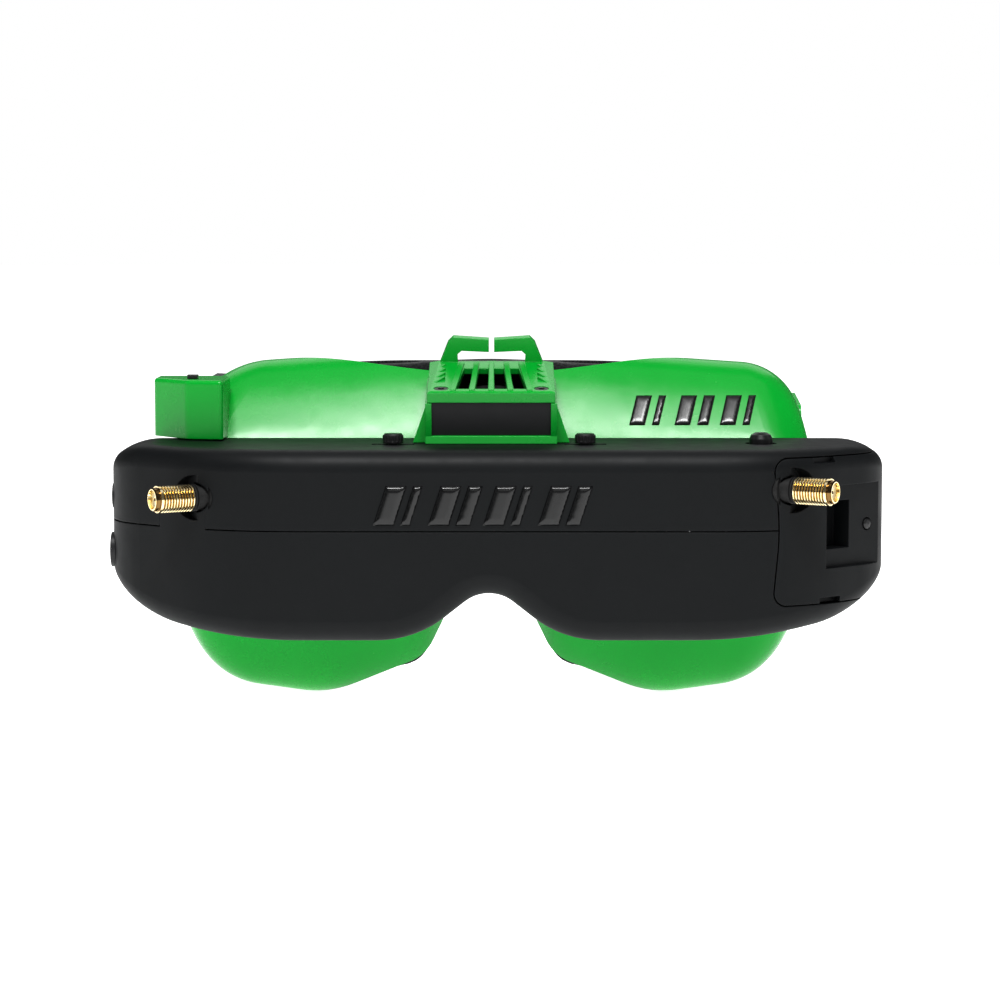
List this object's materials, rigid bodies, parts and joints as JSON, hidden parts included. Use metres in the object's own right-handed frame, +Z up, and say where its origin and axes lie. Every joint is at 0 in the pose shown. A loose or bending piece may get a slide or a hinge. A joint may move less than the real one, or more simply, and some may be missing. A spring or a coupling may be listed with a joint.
{
  "type": "fpv goggles",
  "caption": "Head-worn video goggles: black housing, green faceplate with fan, threaded antenna jacks, sliding eyepieces with focus, face foam and strap.",
  "frame": {"origin": "midway between the eyes, in the plane where the forehead touches the foam, at the optical height", "axes": "+Z up, +X to the wearer's left, -Y the way the front faces"},
  "size_m": [0.1871, 0.1618, 0.0913],
  "materials": {
    "housing_black": "fine matte soft-touch moulding",
    "green_shell": "semi-gloss moulded plastic",
    "inner_black": "satin moulding",
    "control_black": "satin, slightly glossier than the housing",
    "fan_black": "glass-filled nylon, dull",
    "foam": "fabric-faced soft foam",
    "webbing": "woven elastic webbing with a thin red line",
    "gold": "gold-plated brass, turned",
    "insulator": "white fluoropolymer",
    "steel": "ground steel",
    "screw_black": "black oxide",
    "circuit_board": "solder mask",
    "shield_can": "tinned sheet",
    "lens_glass": "polished lens",
    "display": "black display window"
  },
  "bodies": {
    "housing": {"upper_shell": "housing_black", "lower_shell": "housing_black", "faceplate": "green_shell", "face_foam": "foam", "eyepiece_panel": "inner_black", "ipd_guide_rods": "steel", "rod_bracket_left": "inner_black", "rod_bracket_right": "inner_black", "main_board": "circuit_board", "bay_bulkhead": "inner_black", "receiver_module": "shield_can", "sma_body_left": "gold", "sma_insulator_left": "insulator", "sma_contact_left": "gold", "sma_body_right": "gold", "sma_insulator_right": "insulator", "sma_contact_right": "gold", "fan_base": "green_shell", "fan_frame": "fan_black", "fan_hood": "green_shell", "fan_screws": "screw_black", "housing_screws": "screw_black", "faceplate_screws": "screw_black", "fan_supply_box": "green_shell", "joystick_board": "circuit_board", "joystick_base": "inner_black", "power_jack": "inner_black", "power_jack_pin": "steel", "audio_jack": "inner_black", "head_strap": "webbing", "strap_slider_left": "inner_black", "strap_slider_right": "inner_black"},
    "bay_cover": {"bay_cover": "housing_black"},
    "bay_button": {"bay_button": "control_black"},
    "optic_left": {"optic_carriage_left": "inner_black", "display_panel_left": "display"},
    "optic_right": {"optic_carriage_right": "inner_black", "display_panel_right": "display"},
    "barrel_left": {"lens_barrel_left": "inner_black", "eyepiece_lens_left": "lens_glass"},
    "barrel_right": {"lens_barrel_right": "inner_black", "eyepiece_lens_right": "lens_glass"},
    "knob_left": {"focus_knob_left": "control_black"},
    "knob_right": {"focus_knob_right": "control_black"},
    "fan_rotor": {"fan_rotor": "fan_black"},
    "fan_switch": {"fan_switch": "control_black"},
    "stick_plunger": {"joystick_plunger": "inner_black"},
    "stick_rocker": {"joystick_rocker": "inner_black"},
    "stick_cap": {"joystick_cap": "control_black"}
  },
  "joints": [
    {"name": "bay_cover_pull", "type": "slide", "parent": "housing", "child": "bay_cover", "axis": [0.866, -0.5, 0], "range_m": [0, 0.014]},
    {"name": "bay_button_press", "type": "slide", "parent": "bay_cover", "child": "bay_button", "axis": [-0.6577, 0.7533, 0], "range_m": [0, 0.0006], "stiffness_N_per_m": 300},
    {"name": "ipd_left", "type": "slide", "parent": "housing", "child": "optic_left", "axis": [1, 0, 0], "range_m": [-0.0035, 0.0035]},
    {"name": "ipd_right", "type": "slide", "parent": "housing", "child": "optic_right", "axis": [1, 0, 0], "range_m": [-0.0035, 0.0035]},
    {"name": "focus_knob_left", "type": "hinge", "parent": "optic_left", "child": "knob_left", "pos_m": [-0.023, -0.038, 0.0187], "axis": [0, 0, 1], "range_deg": [-150, 150]},
    {"name": "focus_knob_right", "type": "hinge", "parent": "optic_right", "child": "knob_right", "pos_m": [0.023, -0.038, 0.0187], "axis": [0, 0, 1], "range_deg": [-150, 150]},
    {"name": "focus_slide_left", "type": "slide", "parent": "optic_left", "child": "barrel_left", "axis": [0, 1, 0], "range_m": [-0.0025, 0.0025]},
    {"name": "focus_slide_right", "type": "slide", "parent": "optic_right", "child": "barrel_right", "axis": [0, 1, 0], "range_m": [-0.0025, 0.0025]},
    {"name": "fan_spin", "type": "hinge", "parent": "housing", "child": "fan_rotor", "pos_m": [0.0005, -0.02404, 0.02779], "axis": [0, -0.1908, 0.9816], "continuous": true},
    {"name": "fan_switch_slide", "type": "slide", "parent": "housing", "child": "fan_switch", "axis": [1, 0, 0], "range_m": [0, 0.0022]},
    {"name": "joystick_press", "type": "slide", "parent": "housing", "child": "stick_plunger", "axis": [0, 0, -1], "range_m": [0, 0.0004], "stiffness_N_per_m": 600},
    {"name": "joystick_tilt_x", "type": "hinge", "parent": "stick_plunger", "child": "stick_rocker", "pos_m": [0.0653, -0.035, 0.0144], "axis": [1, 0, 0], "range_deg": [-8, 8], "stiffness_Nm_per_rad": 0.01},
    {"name": "joystick_tilt_y", "type": "hinge", "parent": "stick_rocker", "child": "stick_cap", "pos_m": [0.0653, -0.035, 0.0144], "axis": [0, 1, 0], "range_deg": [-8, 8], "stiffness_Nm_per_rad": 0.01}
  ],
  "couplings": [
    {"joint": "focus_knob_left", "follows": "focus_slide_left", "rad_per_m": 1047.2},
    {"joint": "focus_knob_right", "follows": "focus_slide_right", "rad_per_m": 1047.2}
  ]
}
